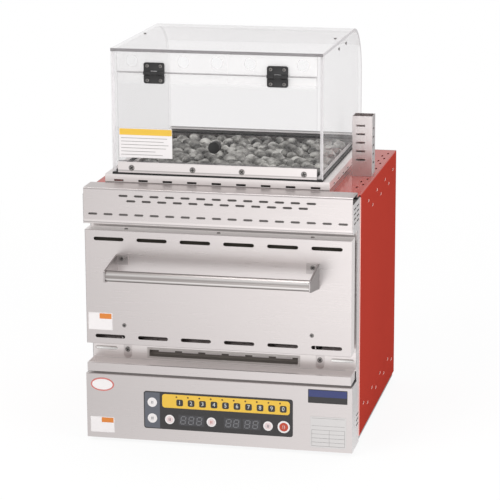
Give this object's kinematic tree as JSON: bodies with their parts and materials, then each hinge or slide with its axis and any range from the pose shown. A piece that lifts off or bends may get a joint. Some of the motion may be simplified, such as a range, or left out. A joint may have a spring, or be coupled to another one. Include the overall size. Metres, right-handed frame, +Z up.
{
  "type": "baked potato oven",
  "caption": "Countertop electric oven for baked potatoes, with a drop-down door, pull-out crumb tray, key panel, short flue and a clear warming case over hot stones.",
  "frame": {"origin": "middle of the underside of the bounding box, on the worktop", "axes": "+Z up, +X to the right as seen from the front, -Y out of the front"},
  "size_m": [0.45, 0.537, 0.654],
  "materials": {
    "stainless": "brushed",
    "galvanised": "dull galvanised",
    "red_paint": "smooth semi-gloss",
    "bright_steel": "bright",
    "black_steel": "heat-darkened",
    "clear_acrylic": "clear",
    "black_plastic": "satin",
    "key_film": "satin print",
    "circuit_board": "satin",
    "rubber": "matt",
    "fibre_blanket": "matt",
    "fibre_seal": "matt",
    "stone": "rough"
  },
  "bodies": {
    "cabinet": {"rubber_feet": "rubber", "base_pan": "galvanised", "side_frame_left": "stainless", "side_frame_right": "stainless", "control_panel": "stainless", "key_membrane": "key_film", "control_board": "circuit_board", "power_contactors": "black_plastic", "terminal_block": "black_plastic", "divider_shelf": "galvanised", "front_plate": "stainless", "intake_channel": "galvanised", "hinge_brackets": "stainless", "hinge_pins": "bright_steel", "oven_liner": "stainless", "upper_heaters": "black_steel", "lower_heaters": "black_steel", "thermostat_probe": "bright_steel", "insulation_blanket": "fibre_blanket", "rack_rails": "stainless", "oven_rack": "bright_steel", "crumb_pan": "stainless", "tray_runners": "galvanised", "outer_shell": "red_paint", "rear_panel": "galvanised", "cable_gland": "black_plastic", "flue_tower": "stainless", "exhaust_duct": "galvanised", "hood": "stainless", "front_crossbar": "galvanised", "heater_well": "galvanised", "stone_heater": "black_steel", "stone_pan": "stainless", "stone_bed": "stone", "case_base_frame": "stainless", "case_seal": "rubber", "case_top_back": "clear_acrylic", "case_side_panels": "clear_acrylic", "case_front_stiles": "clear_acrylic", "case_front_strip": "clear_acrylic", "front_sill": "stainless", "flap_hinge_fixed": "black_plastic", "flap_hinge_pins": "bright_steel", "cabinet_screws": "bright_steel"},
    "door": {"door_outer_panel": "stainless", "door_inner_panel": "stainless", "door_insulation": "fibre_blanket", "door_gasket": "fibre_seal", "door_hinge_arms": "galvanised", "door_screws": "bright_steel", "handle_bar": "stainless", "handle_brackets": "stainless"},
    "flap": {"flap_panel": "clear_acrylic", "flap_hinge_moving": "black_plastic", "flap_screws": "bright_steel", "flap_knob": "black_plastic"},
    "tray": {"crumb_tray": "stainless"}
  },
  "joints": [
    {"name": "door_hinge", "type": "hinge", "parent": "cabinet", "child": "door", "pos_m": [0, -0.157, 0.172], "axis": [1, 0, 0], "range_deg": [0, 90]},
    {"name": "flap_hinge", "type": "hinge", "parent": "cabinet", "child": "flap", "pos_m": [0, -0.1457, 0.6155], "axis": [-1, 0, 0], "range_deg": [0, 165]},
    {"name": "tray_slide", "type": "slide", "parent": "cabinet", "child": "tray", "axis": [0, -1, 0], "range_m": [0, 0.06]}
  ]
}
